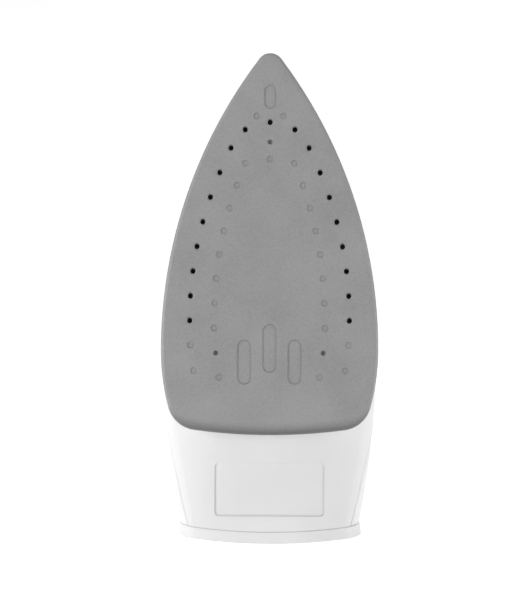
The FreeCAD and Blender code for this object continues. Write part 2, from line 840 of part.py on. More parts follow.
def handle(outer, inner):
    """The white housing: rear, tower and underside below, and a top cap with the controls."""
    wall = d.wall.value
    solid = cut(handle_solid(outer, 0), behind_heel(CAP_DEEP + d.tight_seam.value), below_underside())
    hollow = cut(handle_solid(inner, wall), below_underside(wall))
    shell = cut(fuse(cut(solid, hollow), *heel_bosses(3.4, 6.6, 8)), *heel_bosses(1.72, 6, 10))
    lower = common(shell, box(-80, -90, 20, 80, 200, PARTING_Z - d.seam / 2))
    screw_holes = [rod(0, y, 110, 1.8, 20) for y in HANDLE_SCREWS]
    screw_seats = [rod(0, y, 110, 3.3, 10.6) for y in HANDLE_SCREWS]
    piece("handle_lower", cut(lower, *screw_holes, *screw_seats))
    cap = common(shell, box(-80, -90, PARTING_Z + d.seam / 2, 80, 200, 200))
    holes = [button_hole(side) for side in (1, -1)]
    holes.append(rod(0, VALVE_Y, 120, 3.3, 40))
    holes += [rod(0, y, 120, 1.2, 22) for y in HANDLE_SCREWS]
    posts = [rod(0, y, PARTING_Z + d.seam / 2, 3.2, 11.5) for y in HANDLE_SCREWS]
    holes.append(rod(0, LENS_Y, 120, 3.05, 40))
    holes.append(rod(0, GLAND_Y, 120, 6.55, 40))
    return piece("handle_upper", cut(fuse(cap, *posts), *holes))


def button_hole(side):
    body = new_body("button_hole")
    plan = draw(new_sketch(body, "XY_Plane", 136), *oval(BUTTON_X * side, BUTTON_Y, 13.4, 17.4, 4.2))
    pad(body, plan, 30)
    return body


def oval(x, y, wide, long, corner):
    """A rectangle about (x, y) with round corners."""
    a, b = size(wide) / 2, size(long) / 2
    x, y, c = size(x), size(y), size(corner)
    return [(x + a, y - b + c), (x + a, y + b - c, c, 1), (x + a - c, y + b), (x - a + c, y + b, c, 1),
            (x - a, y + b - c), (x - a, y - b + c, c, 1), (x - a + c, y - b), (x + a - c, y - b, c, 1)]


def grip_pad():
    """A soft inlay along the top of the grip, standing 0.6 mm proud."""
    proud = cut(grip_form(-0.6), grip_form(-0.03))
    zone = box(-10.5, 34, 140, 10.5, 71, 160)
    return piece("grip_pad", common(proud, zone))


def heel_cover(outer):
    """The heel's cap: a rim that flares towards the back face, and the face it stands on."""
    whole = fuse(common(outer, box(-80, -90, d.skirt_base, 80, 40, d.tank_base + d.seam / 2)),
                 handle_solid(outer, 0))
    form = cut(whole, below_underside())
    doc.recompute()
    lean = math.radians(d.lean_back.value)
    inward = V(0, math.cos(lean), -math.sin(lean))
    foot = V(0, d.heel_foot_y.value, d.heel_foot_z.value)
    outlines = form.Shape.slice(inward, foot.dot(inward) + CAP_DEEP)
    outline = max(outlines, key=lambda wire: wire.BoundBox.DiagonalLength)
    middle = outline.BoundBox.Center
    front = outline.copy()
    front.scale(1.004, middle)
    back = outline.copy()
    back.scale(1.022, middle)
    back.translate(inward * -CAP_DEEP)
    solid = Part.makeLoft([front, back], True, True)
    room = outline.copy()
    room.scale(0.94, middle)
    room.translate(inward * 0.01)
    hollow = Part.Face(room).extrude(inward * (d.wall.value - CAP_DEEP - 0.01))
    cap = solid.cut(hollow)
    for x, y, z in heel_screw_places():
        cap = cap.cut(Part.makeCylinder(1.8, 20, V(x, y, z) - inward, inward))
        cap = cap.cut(Part.makeCone(3.4, 1.8, 1.7, V(x, y, z), inward))
    thing = doc.addObject("Part::Feature", "heel_cover")
    thing.Shape = cap
    return piece("heel_cover", thing)


def heel_screw_places():
    """Where the two cover screws meet the back face."""
    rise = 40
    slope = math.tan(math.radians(d.lean_back.value))
    return [(side * 38.5, d.heel_foot_y.value + rise * slope, d.heel_foot_z.value + rise) for side in (1, -1)]


def heel_bosses(radius, start, long):
    """A rod behind each cover screw, along its axis."""
    lean = math.radians(d.lean_back.value)
    inward = V(0, math.cos(lean), -math.sin(lean))
    rods = []
    for place in heel_screw_places():
        foot = V(*place) + inward * start
        rods.append(rod(foot.x, foot.y, foot.z, radius, long, (1, 0, 0), -90 - d.lean_back.value))
    return rods


def screws(name, places, head, head_high, shank, long, place=None):
    """A group of screws with heads down at z = 0, slotted, their shanks pointing up."""
    body = new_body(name)
    heads = new_sketch(body, "XY_Plane")
    shanks = new_sketch(body, "XY_Plane", head_high)
    slots = new_sketch(body, "XY_Plane")
    for x, y in places:
        ring(heads, x, y, head)
        ring(shanks, x, y, shank)
        block(slots, x, y, head * 1.5, 0.6)
    pad(body, heads, head_high)
    pad(body, shanks, long)
    pocket(body, slots, head_high * 0.5, back=True)
    return piece(name, body, place)


def fasteners():
    casting = [(side * STRAP_SCREW_X, -STRAP_Y) for side in (1, -1)]
    screws("casting_screws", casting, 3, 1.6, 1.45, 6, at(0, 0, d.casting_top + 3.2, (1, 0, 0), 180))
    screws("handle_screws", [(0, y) for y in HANDLE_SCREWS], 3.2, 1.8, 1.15, 17, at(0, 0, 118.6))
    turn = FreeCAD.Rotation(V(1, 0, 0), -90 - d.lean_back.value)
    x, y, z = heel_screw_places()[0]
    sunk = turn.multVec(V(0, 0, 0.4))
    place = FreeCAD.Placement(V(0, y, z) + sunk, turn)
    return screws("heel_cover_screws", [(x, 0), (-x, 0)], 1.75, 0.5, 1.7, 11, place)


def mounting_strap():
    strap = new_body("mounting_strap")
    pad(strap, block(new_sketch(strap, "XY_Plane", d.casting_top), 0, STRAP_Y, 98, 10), 1.6)
    holes = new_sketch(strap, "XY_Plane", d.casting_top + 1.6)
    for side in (1, -1):
        ring(holes, STRAP_SCREW_X * side, STRAP_Y, 1.6)
    pocket(strap, holes, 1.6)
    return piece("mounting_strap", strap)


def temperature_dial():
    dial = new_body("temperature_dial")
    disc = pad(dial, ring(new_sketch(dial, "XY_Plane", d.tank_roof + 0.6), 0, 0, 26.8), 7)
    rounded(dial, disc, 1.6, level(d.tank_roof.value + 7.6))
    doc.recompute()
    notch = pocket(dial, ring(new_sketch(dial, "XY_Plane", d.tank_roof + 10), 0, 27.9, 2), 8)
    doc.recompute()
    grips = dial.newObject("PartDesign::PolarPattern", "grips")
    grips.Originals = [notch]
    grips.Axis = (notch.Profile[0], ["N_Axis"])
    grips.Angle = 360
    grips.Occurrences = 24
    dial.Tip = grips
    doc.recompute()
    pocket(dial, ring(new_sketch(dial, "XY_Plane", d.tank_roof + 0.6), 0, 0, 3.01), 4.6, back=True)
    ridge = new_sketch(dial, "XY_Plane", d.tank_roof + 7.6)
    draw(ridge, *oval(0, 0, 6, 40, 2.9))
    pad(dial, ridge, 3)
    piece("temperature_dial", dial, at(0, DIAL_Y, 0))
    bezel = new_body("dial_ring")
    flat = new_sketch(bezel, "XY_Plane", d.tank_roof)
    ring(flat, 0, DIAL_Y, 30)
    ring(flat, 0, DIAL_Y, 27.3)
    pad(bezel, flat, 3.4)
    return piece("dial_ring", bezel)


def spring(name, radius, wire, long, turns, place):
    helix = doc.addObject("Part::Helix", "helix")
    bind(helix, "Radius", radius)
    bind(helix, "Height", long - 2 * wire)
    bind(helix, "Pitch", (long - 2 * wire) / turns)
    section = doc.addObject("Part::Circle", "section")
    bind(section, "Radius", wire)
    section.Placement = at(radius, 0, 0, (1, 0, 0), 90)
    coil = doc.addObject("Part::Sweep", name)
    coil.Sections = [section]
    coil.Spine = (helix, ["Edge1"])
    coil.Solid = True
    coil.Frenet = True
    return piece(name, coil, place)


def steam_valve():
    """The needle that the steam knob lifts, its return spring and the seat in the tank's floor."""
    needle = new_body("valve_rod")
    sketch = new_sketch(needle, "XZ_Plane")
    draw(sketch, (0, 26), (0.6, 26), (1.5, 28.5), (1.5, 100), (3.6, 100), (3.6, 101.5), (1.5, 101.5),
         (1.5, 134), (0, 134))
    turned(needle, sketch)
    piece("valve_rod", needle, at(0, VALVE_Y, 0))
    seat = new_body("drip_valve_seat")
    sketch = new_sketch(seat, "XZ_Plane")
    floor = d.tank_base + d.wall
    draw(sketch, (0.7, 18.4), (2.9, 18.4), (2.9, 27), (4.95, 27), (4.95, floor), (6.5, floor),
         (6.5, floor + 1.2), (1.7, floor + 1.2), (1.7, 28.6), (0.7, 25.6))
    turned(seat, sketch)
    piece("drip_valve_seat", seat, at(0, VALVE_Y, 0))
    spring("valve_spring", 2.8, 0.35, 19.6, 7, at(0, VALVE_Y, d.tank_roof + 0.65))
    knob = new_body("steam_knob")
    sketch = new_sketch(knob, "XZ_Plane")
    draw(sketch, (1.6, 129), (3.2, 129), (3.2, KNOB_Z + 0.4), (9.4, KNOB_Z + 0.4), (9.8, KNOB_Z + 6.4),
         (8.6, KNOB_Z + 7.8), (0, KNOB_Z + 7.8), (0, 137), (1.6, 137))
    turned(knob, sketch)
    doc.recompute()
    flute = pocket(knob, ring(new_sketch(knob, "XY_Plane", KNOB_Z + 9), 0, 10.6, 1.3), 10)
    doc.recompute()
    flutes = knob.newObject("PartDesign::PolarPattern", "flutes")
    flutes.Originals = [flute]
    flutes.Axis = (flute.Profile[0], ["N_Axis"])
    flutes.Angle = 360
    flutes.Occurrences = 16
    knob.Tip = flutes
    return piece("steam_knob", knob, at(0, VALVE_Y, 0))


def push_button(name, side):
    """A button on the grip, its return spring, and the pump that it drives."""
    place = at(BUTTON_X * side, BUTTON_Y, 0)
    button = new_body(f"{name}_button")
    cap = pad(button, draw(new_sketch(button, "XY_Plane", 138.9), *oval(0, 0, 12.6, 16.6, 4)), 12.6)
    rounded(button, cap, 1.4, level(151.5))
    pad(button, draw(new_sketch(button, "XY_Plane", 137.5), *oval(0, 0, 12.6, 19.6, 4)), 1.4)
    pad(button, ring(new_sketch(button, "XY_Plane", 132), 0, 0, 1.5), 5.5)
    piece(f"{name}_button", button, place)
    spring(f"{name}_spring", 2.7, 0.3, 3.8, 2.5, place * at(0, 0, 133.95))
    barrel = new_body(f"{name}_pump_cylinder")
    pad(barrel, ring(new_sketch(barrel, "XY_Plane", 125.2), 0, 0, 4.4), 8.4)
    pocket(barrel, ring(new_sketch(barrel, "XY_Plane", 133.6), 0, 0, 3.5), 7.4)
    piece(f"{name}_pump_cylinder", barrel, place)
    piston = new_body(f"{name}_piston")
    pad(piston, ring(new_sketch(piston, "XY_Plane", 130), 0, 0, 3.42), 2)
    return piece(f"{name}_piston", piston, place)


def filler():
    """The hinged filler door, the face seal round its raised middle, and the pin it turns on."""
    roof = d.tank_roof
    plate = new_body("filler_plate")
    flat = new_sketch(plate, "XY_Plane", roof + 0.6)
    rear = HINGE_Y + 2.6
    draw(flat, (11.2, rear), (11.2, 156.8, 9.2, 1), (2, 166), (-2, 166, 9.2, 1), (-11.2, 156.8), (-11.2, rear))
    pad(plate, flat, 2.2)
    pad(plate, ring(new_sketch(plate, "XY_Plane", roof + 0.1), 0, FILLER_Y, 7.4), 0.5)
    arm = box(-5, HINGE_Y, HINGE_Z - 1.2, 5, rear + 1, HINGE_Z + 0.2)
    knuckle = rod(-5, HINGE_Y, HINGE_Z, 2.1, 10, (0, 1, 0), 90)
    door = cut(fuse(plate, arm, knuckle), rod(-8, HINGE_Y, HINGE_Z, 1.05, 16, (0, 1, 0), 90))
    piece("filler_door", door)
    pin = doc.addObject("Part::Cylinder", "filler_hinge_pin")
    bind(pin, "Radius", 1)
    bind(pin, "Height", 16)
    piece("filler_hinge_pin", pin, at(-8, HINGE_Y, HINGE_Z, (0, 1, 0), 90))
    seal = new_body("filler_seal")
    flat = new_sketch(seal, "XY_Plane", roof + 0.05)
    ring(flat, 0, FILLER_Y, 10.8)
    ring(flat, 0, FILLER_Y, 7.45)
    pad(seal, flat, 0.55)
    return piece("filler_seal", seal)


def spray_nozzle():
    nozzle = new_body("spray_nozzle")
    sketch = new_sketch(nozzle, "XZ_Plane")
    draw(sketch, (1.2, -14), (5, -14), (5, 3.4), (4.4, 4), (3.05, 4), (3.05, 1), (1.2, 1))
    turned(nozzle, sketch)
    ahead = at(0, NOZZLE_Y, NOZZLE_Z, (1, 0, 0), -90)
    piece("spray_nozzle", nozzle, ahead)
    tip = new_body("nozzle_tip")
    sketch = new_sketch(tip, "XZ_Plane")
    draw(sketch, (0.4, 1), (3, 1), (3, 4.6), (1.8, 6.4), (0.4, 6.4))
    turned(tip, sketch)
    return piece("nozzle_tip", tip, ahead)


def indicator():
    lens = new_body("indicator_lens")
    sketch = new_sketch(lens, "XZ_Plane")
    draw(sketch, (0, 141), (3, 141), (3, 144.8, 3, 1), (1, 146), (0, 146))
    turned(lens, sketch)
    piece("indicator_lens", lens, at(0, LENS_Y, 0))
    lamp = doc.addObject("Part::Cylinder", "neon_lamp")
    bind(lamp, "Radius", 2.2)
    bind(lamp, "Height", 12)
    return piece("neon_lamp", lamp, at(0, LENS_Y - 6, 137.5, (1, 0, 0), -90))


GLAND_TOP = 146.6
GLAND_TILT = 30
GLAND_LONG = 17


def cord_gland():
    """The swivelling cord exit: a hollow elbow in a fixed collar, open for a cord."""
    base = rod(0, GLAND_Y, 138, 5.25, GLAND_TOP - 138)
    flange = rod(0, GLAND_Y, 137, 6.4, 2)
    ball = doc.addObject("Part::Sphere", "ball")
    bind(ball, "Radius", 5.9)
    ball.Placement = at(0, GLAND_Y, GLAND_TOP)
    nozzle = doc.addObject("Part::Cone", "nozzle")
    bind(nozzle, "Radius1", 5.6)
    bind(nozzle, "Radius2", 4.8)
    bind(nozzle, "Height", GLAND_LONG)
    nozzle.Placement = at(0, GLAND_Y, GLAND_TOP, (1, 0, 0), GLAND_TILT)
    rings = []
    for step in range(3):
        rib = doc.addObject("Part::Torus", "rib")
        bind(rib, "Radius1", 5.0)
        bind(rib, "Radius2", 0.9)
        away = at(0, 0, 8 + 3.2 * step)
        rib.Placement = nozzle.Placement * away
        rings.append(rib)
    bore = rod(0, GLAND_Y, GLAND_TOP, 3.6, GLAND_LONG + 2, (1, 0, 0), GLAND_TILT)
    entry = rod(0, GLAND_Y, 130, 3.6, GLAND_TOP - 130)
    piece("cord_gland", cut(fuse(base, flange, ball, nozzle, *rings), bore, entry))
    collar = new_body("gland_collar")
    flat = new_sketch(collar, "XY_Plane", 139.6)
    ring(flat, 0, GLAND_Y, 6.5)
    ring(flat, 0, GLAND_Y, 5.35)
    pad(collar, flat, 4.3)
    return piece("gland_collar", collar)


def bent_wire(points, radius, bend):
    """A round wire through points, its corners turned with one bend radius."""
    runs = []
    here = points[0]
    for corner, after in zip(points[1:], points[2:]):
        into = (corner - here).normalize()
        out = (after - corner).normalize()
        half = into.getAngle(out) / 2
        back = bend * math.tan(half)
        first = corner - into * back
        last = corner + out * back
        middle = corner + (out - into).normalize() * (bend / math.cos(half) - bend)
        runs.append(Part.makeLine(here, first))
        runs.append(Part.Arc(first, middle, last).toShape())
        here = last
    runs.append(Part.makeLine(here, points[-1]))
    path = Part.Wire(runs)
    start = Part.Wire(Part.makeCircle(radius, points[0], points[1] - points[0]))
    return path.makePipeShell([start], True, False)


def electrics():
    """The terminal block, its screws, and the two leads down to the element's tabs."""
    block_body = new_body("terminal_block")
    flat = new_sketch(block_body, "XY_Plane", 42)
    pad(block_body, block(flat, 0, 14.5, 32, 13), 14)
    ways = new_sketch(block_body, "XY_Plane", 42)
    for side in (1, -1):
        ring(ways, 10 * side, 12, 1.25)
    pocket(block_body, ways, 8, back=True)
    piece("terminal_block", block_body)
    places = [(x, 0) for x in (-10, 0, 10)]
    screws("terminal_screws", places, 2.4, 1.6, 1.5, 0.4, at(0, 6, 50, (1, 0, 0), -90))
    leads = []
    for side in (1, -1):
        x = side * d.element_half.value
        points = [V(10 * side, 12, 48), V(10 * side, 12, 34), V(x, 12, 34), V(x, 12, 21.05)]
        leads.append(bent_wire(points, 1.2, 5))
    thing = doc.addObject("Part::Feature", "leads")
    thing.Shape = Part.makeCompound(leads)
    return piece("leads", thing)


def check_and_export():
    doc.recompute()
    for item in doc.Objects:
        if "Invalid" in item.State or "Error" in item.State:
            raise RuntimeError(f"{item.Name} ({item.Label}) failed: {item.getStatusString()}")
    for item in pieces:
        if item.Shape.isNull() or not item.Shape.isValid() or not item.Shape.Solids:
            raise RuntimeError(f"{item.Label} has no valid solid")
    for item in pieces:
        item.Shape.exportStep(f"parts/{item.Label}.step")


def main():
    soleplate()
    sole_rivets()
    cast_in_element()
    element_pins()
    chamber_parts()
    thermostat()
    thermal_fuse()
    mounting_strap()
    outer = casing_form()
    inner = casing_form(d.wall)
    lower_shell(outer, inner)
    tank(outer, inner)
    handle(outer, inner)
    grip_pad()
    heel_cover(outer)
    fasteners()
    temperature_dial()
    steam_valve()
    push_button("spray", 1)
    push_button("boost", -1)
    filler()
    spray_nozzle()
    indicator()
    cord_gland()
    electrics()
    check_and_export()


main()
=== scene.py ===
import json
import math

import bmesh
import bpy
from mathutils import Matrix, Vector


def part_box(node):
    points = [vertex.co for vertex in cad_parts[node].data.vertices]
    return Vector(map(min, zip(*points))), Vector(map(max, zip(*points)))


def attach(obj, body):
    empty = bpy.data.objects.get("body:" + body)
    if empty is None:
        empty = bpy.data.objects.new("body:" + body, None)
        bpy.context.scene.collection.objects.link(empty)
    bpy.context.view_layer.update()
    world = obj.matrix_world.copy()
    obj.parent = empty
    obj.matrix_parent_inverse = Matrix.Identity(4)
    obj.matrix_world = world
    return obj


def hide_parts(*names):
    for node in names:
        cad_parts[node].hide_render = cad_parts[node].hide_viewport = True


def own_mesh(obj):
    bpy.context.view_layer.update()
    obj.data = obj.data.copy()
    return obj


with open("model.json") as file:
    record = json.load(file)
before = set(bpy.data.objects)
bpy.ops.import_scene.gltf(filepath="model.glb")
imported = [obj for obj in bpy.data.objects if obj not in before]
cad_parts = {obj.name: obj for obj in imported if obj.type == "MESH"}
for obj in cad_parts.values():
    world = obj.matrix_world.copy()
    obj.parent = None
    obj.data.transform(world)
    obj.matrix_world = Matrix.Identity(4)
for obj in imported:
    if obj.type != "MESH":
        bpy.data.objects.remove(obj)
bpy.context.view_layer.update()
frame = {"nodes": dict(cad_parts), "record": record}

MM = 0.001
nodes = frame["nodes"]


# ---------------------------------------------------------------- the iron's own axes

def joint(name):
    return next(item for item in frame["record"]["behaviour"]["joints"] if item["name"] == name)


# The iron stands on its heel. Its own upward axis leaves the back of the ironing face and is
# the one that the dial turns about. Its forward axis runs up the soleplate to the tip.
UP = Vector(joint("dial_turn")["axis"]).normalized()
SIDE = Vector((-1, 0, 0))
AHEAD = UP.cross(SIDE).normalized()
IRON = Matrix((SIDE, AHEAD, UP)).transposed()


# ---------------------------------------------------------------- camera

VIEW_SIDE = math.radians(0.6)
VIEW_RISE = math.radians(14.5)
VIEW_AWAY = 2.5
VIEW_TALL = 0.3335
VIEW_END = 50
SENSOR = 36.0
LOOK_AT = Vector((-0.0025, -0.045, 0.1286))


def make_camera():
    """A long lens in front of the soleplate, a little above it."""
    data = bpy.data.cameras.new("camera")
    data.sensor_width = SENSOR
    data.lens = SENSOR * VIEW_AWAY / VIEW_TALL
    data.clip_end = VIEW_END
    camera = bpy.data.objects.new("camera", data)
    bpy.context.scene.collection.objects.link(camera)
    level = math.cos(VIEW_RISE)
    away = Vector((math.sin(VIEW_SIDE) * level, -math.cos(VIEW_SIDE) * level, math.sin(VIEW_RISE)))
    camera.location = LOOK_AT + away * VIEW_AWAY
    camera.rotation_euler = (-away).to_track_quat("-Z", "Y").to_euler()
    bpy.context.scene.camera = camera


# ---------------------------------------------------------------- materials

BEVEL_SAMPLES = 4
FLOW_MM = 45        # the flow shading of a moulding, as wide as its ribs are apart
SMEAR_MM = 18       # patches of a moulding that left the tool a little glossier
ENAMEL_SPECK_MM = 0.9   # real enamel grit is near 0.2 mm, too fine to show, so it is drawn coarser
ENAMEL_CLOUD_MM = 24
TANK_WAVE_MM = 14
METAL_DRIFT_MM = 16
RUBBER_DUST_MM = 9
SLEEVE_YARN_MM = 0.7    # real yarns are about 0.3 mm apart, drawn coarser so that they show
PAPER_CLOUD_MM = 60


def linear(code, alpha=1.0):
    """An sRGB hex value as the linear colour that a shader takes."""
    parts = [int(code[i:i + 2], 16) / 255 for i in (1, 3, 5)]
    return (*[p / 12.92 if p <= 0.04045 else ((p + 0.055) / 1.055) ** 2.4 for p in parts], alpha)


def per_mm(size):
    """The scale that makes a pattern's features that many millimetres wide."""
    return 1 / (size * MM)


def add(tree, kind, sockets=None, stops=(), **settings):
    """Adds a node. Each socket gets a value, or a link if it is given another socket. The stops
    are a colour ramp's places and sRGB values."""
    made = tree.nodes.new(kind)
    for name, value in settings.items():
        setattr(made, name, value)
    for index, (position, code) in enumerate(stops):
        made.color_ramp.elements[index].position = position
        made.color_ramp.elements[index].color = linear(code)
    for name, value in (sockets or {}).items():
        if isinstance(value, bpy.types.NodeSocket):
            tree.links.new(value, made.inputs[name])
        else:
            made.inputs[name].default_value = value
    return made


def start(name, **shader):
    """A material with a Principled shader, set to what is the same all over it."""
    material = bpy.data.materials.new(name)
    material.use_nodes = True
    tree = material.node_tree
    principled = tree.nodes["Principled BSDF"]
    for socket, value in shader.items():
        principled.inputs[socket.replace("_", " ")].default_value = value
    place = add(tree, "ShaderNodeTexCoord").outputs["Object"]
    return material, tree, principled, place


def surface(tree, shader, colour, rough, bump):
    """Links a finish's three patterns to its shader."""
    tree.links.new(colour, shader.inputs["Base Color"])
    tree.links.new(rough.outputs["Result"], shader.inputs["Roughness"])
    tree.links.new(bump.outputs["Normal"], shader.inputs["Normal"])


def moulded_abs(name, dark, light, roughness, peel_mm=2.2, peel=0.02, edge_mm=0.35):
    """Injection-moulded ABS: even colour with a trace of flow shading, a low orange peel that
    softens reflections, and edges rounded by the tool."""
    material, tree, shader, place = start(name, IOR=1.53)
    flow = add(tree, "ShaderNodeTexNoise", {"Vector": place, "Scale": per_mm(FLOW_MM), "Detail": 2.0})
    tone = add(tree, "ShaderNodeValToRGB", {"Fac": flow.outputs["Fac"]},
               stops=((0.35, dark), (0.65, light)))
    smear = add(tree, "ShaderNodeTexNoise", {"Vector": place, "Scale": per_mm(SMEAR_MM), "Detail": 3.0})
    rough = add(tree, "ShaderNodeMapRange", {
        "Value": smear.outputs["Fac"], "From Min": 0.3, "From Max": 0.7,
        "To Min": roughness - 0.03, "To Max": roughness + 0.04})
    soft = add(tree, "ShaderNodeBevel", {"Radius": edge_mm * MM}, samples=BEVEL_SAMPLES)
    skin = add(tree, "ShaderNodeTexNoise", {"Vector": place, "Scale": per_mm(peel_mm), "Detail": 2.0})
    bump = add(tree, "ShaderNodeBump", {
        "Height": skin.outputs["Fac"], "Normal": soft.outputs["Normal"],
        "Strength": peel, "Distance": 0.1 * MM})
    surface(tree, shader, tone.outputs["Color"], rough, bump)
    return material


def sole_enamel():
    """Sprayed and fired non-stick enamel: mid grey with a fine mottle of lighter and darker
    specks, satin, slightly rubbed where it has been ironed with, and with painted shade that
    darkens it round the rolled trailing edge."""
    material, tree, shader, place = start("sole_enamel", IOR=1.5)
    speck = add(tree, "ShaderNodeTexNoise", {
        "Vector": place, "Scale": per_mm(ENAMEL_SPECK_MM), "Detail": 4.0, "Roughness": 0.7})
    cloud = add(tree, "ShaderNodeTexNoise", {
        "Vector": place, "Scale": per_mm(ENAMEL_CLOUD_MM), "Detail": 3.0})
    grain = add(tree, "ShaderNodeMapRange", {
        "Value": speck.outputs["Fac"], "From Min": 0.2, "From Max": 0.8})
    patch = add(tree, "ShaderNodeMapRange", {
        "Value": cloud.outputs["Fac"], "From Min": 0.2, "From Max": 0.8})
    blend = add(tree, "ShaderNodeMath", {0: patch.outputs["Result"], 1: 0.3}, operation="MULTIPLY")
    total = add(tree, "ShaderNodeMath", {0: grain.outputs["Result"], 1: 0.7, 2: blend.outputs[0]},
                operation="MULTIPLY_ADD")
    mottle = add(tree, "ShaderNodeValToRGB", {"Fac": total.outputs[0]},
                 stops=((0.25, "#969697"), (0.75, "#a9a9a9")))
    # Painted shade: faces that turn towards the trailing end are mixed towards a dark grey, in place of
    # the shade that falls on the rolled rear edge.
    facing = add(tree, "ShaderNodeNewGeometry").outputs["Normal"]
    trailing = add(tree, "ShaderNodeVectorMath", {0: facing, 1: -AHEAD}, operation="DOT_PRODUCT")
    painted_edge_shade = add(tree, "ShaderNodeMapRange", {
        "Value": trailing.outputs["Value"], "From Min": 0.02, "From Max": 0.8})
    tone = add(tree, "ShaderNodeMix", {
        0: painted_edge_shade.outputs["Result"], 6: mottle.outputs["Color"], 7: linear("#5f5f60")}, data_type="RGBA")
    rough = add(tree, "ShaderNodeMapRange", {
        "Value": cloud.outputs["Fac"], "From Min": 0.3, "From Max": 0.7, "To Min": 0.42, "To Max": 0.52})
    soft = add(tree, "ShaderNodeBevel", {"Radius": 0.25 * MM}, samples=BEVEL_SAMPLES)
    bump = add(tree, "ShaderNodeBump", {
        "Height": speck.outputs["Fac"], "Normal": soft.outputs["Normal"],
        "Strength": 0.12, "Distance": 0.08 * MM})
    surface(tree, shader, tone.outputs[2], rough, bump)
    return material


def tinted_styrene(name, dark, light, roughness=0.06):
    """Clear moulded plastic with a tint: see-through, with faint flow waves."""
    material, tree, shader, place = start(name, IOR=1.57, Transmission_Weight=1.0)
    wave = add(tree, "ShaderNodeTexNoise", {"Vector": place, "Scale": per_mm(TANK_WAVE_MM), "Detail": 2.0})
    tone = add(tree, "ShaderNodeValToRGB", {"Fac": wave.outputs["Fac"]}, stops=((0.3, dark), (0.7, light)))
    rough = add(tree, "ShaderNodeMapRange", {
        "Value": wave.outputs["Fac"], "From Min": 0.3, "From Max": 0.7,
        "To Min": roughness, "To Max": roughness + 0.06})
    soft = add(tree, "ShaderNodeBevel", {"Radius": 0.3 * MM}, samples=BEVEL_SAMPLES)
    bump = add(tree, "ShaderNodeBump", {
        "Height": wave.outputs["Fac"], "Normal": soft.outputs["Normal"],
        "Strength": 0.08, "Distance": 0.4 * MM})
    surface(tree, shader, tone.outputs["Color"], rough, bump)
    return material


def metal(name, dark, light, roughness, grain_mm, grain=0.15, stretch=(1, 1, 1)):
    """Bare metal: a directional or cast grain breaks up its shine, with a little colour drift.
    Grains finer than the view shows are drawn two or three times as coarse."""
    material, tree, shader, place = start(name, Metallic=1.0)
    lay = add(tree, "ShaderNodeMapping", {"Vector": place, "Scale": stretch})
    grit = add(tree, "ShaderNodeTexNoise", {
        "Vector": lay.outputs["Vector"], "Scale": per_mm(grain_mm), "Detail": 4.0})
    drift = add(tree, "ShaderNodeTexNoise", {
        "Vector": place, "Scale": per_mm(METAL_DRIFT_MM), "Detail": 2.0})
    tone = add(tree, "ShaderNodeValToRGB", {"Fac": drift.outputs["Fac"]},
               stops=((0.35, dark), (0.65, light)))
    rough = add(tree, "ShaderNodeMapRange", {
        "Value": grit.outputs["Fac"], "From Min": 0.25, "From Max": 0.75,
        "To Min": roughness - 0.06, "To Max": roughness + 0.1})
    bump = add(tree, "ShaderNodeBump", {
        "Height": grit.outputs["Fac"], "Strength": grain, "Distance": 0.06 * MM})
    surface(tree, shader, tone.outputs["Color"], rough, bump)
    return material


def soft_skin(name, dark, light, roughness, grain_mm, grain=0.3):
    """Rubber or soft-touch elastomer: dull, with a fine eroded grain that scatters light. The
    real grain is near 0.1 mm, so it is drawn several times as coarse."""
    material, tree, shader, place = start(name, IOR=1.5, Sheen_Weight=0.15, Sheen_Roughness=0.5)
    pore = add(tree, "ShaderNodeTexVoronoi", {"Vector": place, "Scale": per_mm(grain_mm)})
    dust = add(tree, "ShaderNodeTexNoise", {
        "Vector": place, "Scale": per_mm(RUBBER_DUST_MM), "Detail": 4.0})
    tone = add(tree, "ShaderNodeValToRGB", {"Fac": dust.outputs["Fac"]},
               stops=((0.35, dark), (0.7, light)))
    rough = add(tree, "ShaderNodeMapRange", {
        "Value": dust.outputs["Fac"], "From Min": 0.3, "From Max": 0.7,
        "To Min": roughness - 0.05, "To Max": roughness + 0.05})
    bump = add(tree, "ShaderNodeBump", {
        "Height": pore.outputs["Distance"], "Strength": grain, "Distance": 0.1 * MM})
    surface(tree, shader, tone.outputs["Color"], rough, bump)
    return material


def glazed_steatite():
    """Glazed steatite: off-white and glassy over a faintly lumpy body."""
    return moulded_abs("glazed_steatite", "#dcd8cb", "#eae6da", 0.15, 3.0, 0.05, 0.3)


def woven_sleeve():
    """Woven glass sleeving: fine crossing yarns, dull and slightly cream."""
    material, tree, shader, place = start("glass_sleeving", IOR=1.5, Roughness=0.8)
    yarn = add(tree, "ShaderNodeTexVoronoi", {
        "Vector": place, "Scale": per_mm(SLEEVE_YARN_MM)}, feature="F1")
    tone = add(tree, "ShaderNodeValToRGB", {"Fac": yarn.outputs["Distance"]},
               stops=((0.1, "#d8d4c6"), (0.6, "#a39f92")))
    bump = add(tree, "ShaderNodeBump", {
        "Height": yarn.outputs["Distance"], "Strength": 0.5, "Distance": 0.15 * MM}, invert=True)
    tree.links.new(tone.outputs["Color"], shader.inputs["Base Color"])
    tree.links.new(bump.outputs["Normal"], shader.inputs["Normal"])
    return material


